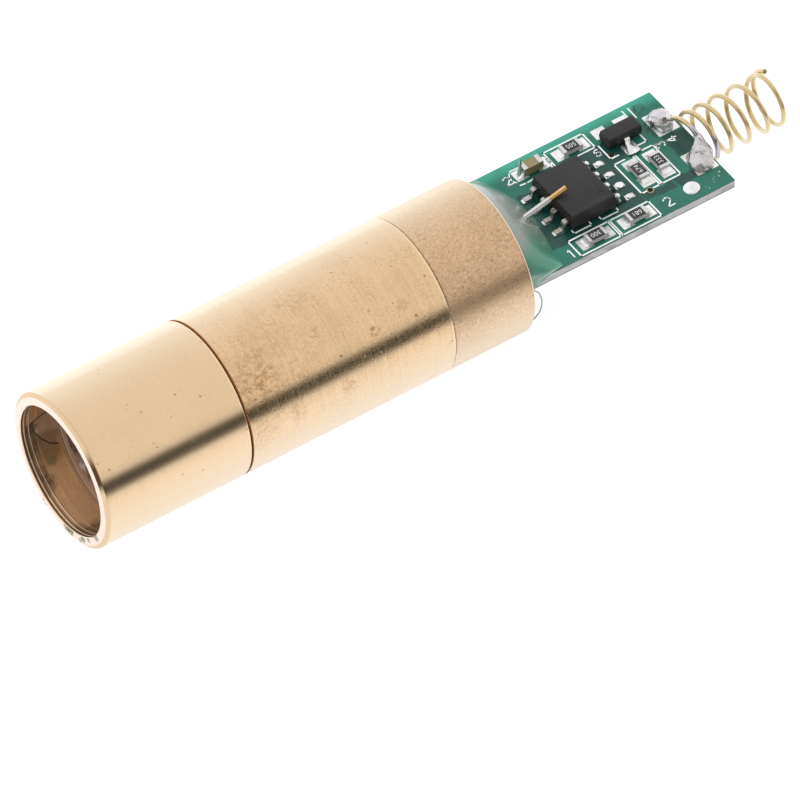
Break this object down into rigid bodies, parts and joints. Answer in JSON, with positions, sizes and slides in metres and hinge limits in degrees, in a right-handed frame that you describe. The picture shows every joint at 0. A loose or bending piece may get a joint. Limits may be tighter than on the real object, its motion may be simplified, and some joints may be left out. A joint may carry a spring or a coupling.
{
  "type": "laser diode module",
  "caption": "Turned brass cylinder with a recessed lens bore at the front, and a narrow populated circuit board out of its potted rear end that carries a battery contact coil spring.",
  "frame": {"origin": "centre of the barrel's front face, where the light leaves", "axes": "+X along the barrel's axis from the front face to the battery spring, +Z towards the board's component side"},
  "size_m": [0.0612, 0.012, 0.012],
  "materials": {
    "front_brass": "polished",
    "middle_brass": "turned",
    "rear_brass": "matte",
    "lens_glass": "clear",
    "black_ring": "matte",
    "brass_ring": "turned",
    "filter_glass": "clear",
    "holder_copper": "turned",
    "crystal": "clear",
    "gold_metal": "polished",
    "emitter": "gloss",
    "cap_metal": "satin",
    "gold_lead": "polished",
    "board_mask": "gloss",
    "tin": "bright",
    "chip_body": "matte",
    "transistor_body": "matte",
    "capacitor_ceramic": "matte",
    "resistor_ceramic": "gloss",
    "solder": "bright",
    "spring_wire": "satin",
    "potting": "gloss"
  },
  "bodies": {
    "root": {"front_barrel": "front_brass", "middle_barrel": "middle_brass", "rear_barrel": "rear_brass", "line_lens": "lens_glass", "line_lens_holder": "black_ring", "lens_ring": "brass_ring", "collimating_lens": "lens_glass", "infrared_filter": "filter_glass", "crystal_holder": "holder_copper", "expander_lens": "lens_glass", "laser_crystal": "crystal", "diode_header": "gold_metal", "laser_emitter": "emitter", "diode_cap": "cap_metal", "diode_window": "lens_glass", "diode_pins": "gold_metal", "diode_lead": "gold_lead", "circuit_board": "board_mask", "board_pads": "tin", "driver_chip": "chip_body", "chip_leads": "tin", "transistor": "transistor_body", "transistor_leads": "tin", "capacitor": "capacitor_ceramic", "capacitor_ends": "tin", "solder_joints": "solder", "battery_spring": "spring_wire", "spring_solder": "solder", "rear_potting": "potting", "resistor_1": "resistor_ceramic", "resistor_1_ends": "tin", "resistor_2": "resistor_ceramic", "resistor_2_ends": "tin", "resistor_3": "resistor_ceramic", "resistor_3_ends": "tin", "resistor_4": "resistor_ceramic", "resistor_4_ends": "tin", "resistor_5": "resistor_ceramic", "resistor_5_ends": "tin"}
  },
  "joints": []
}
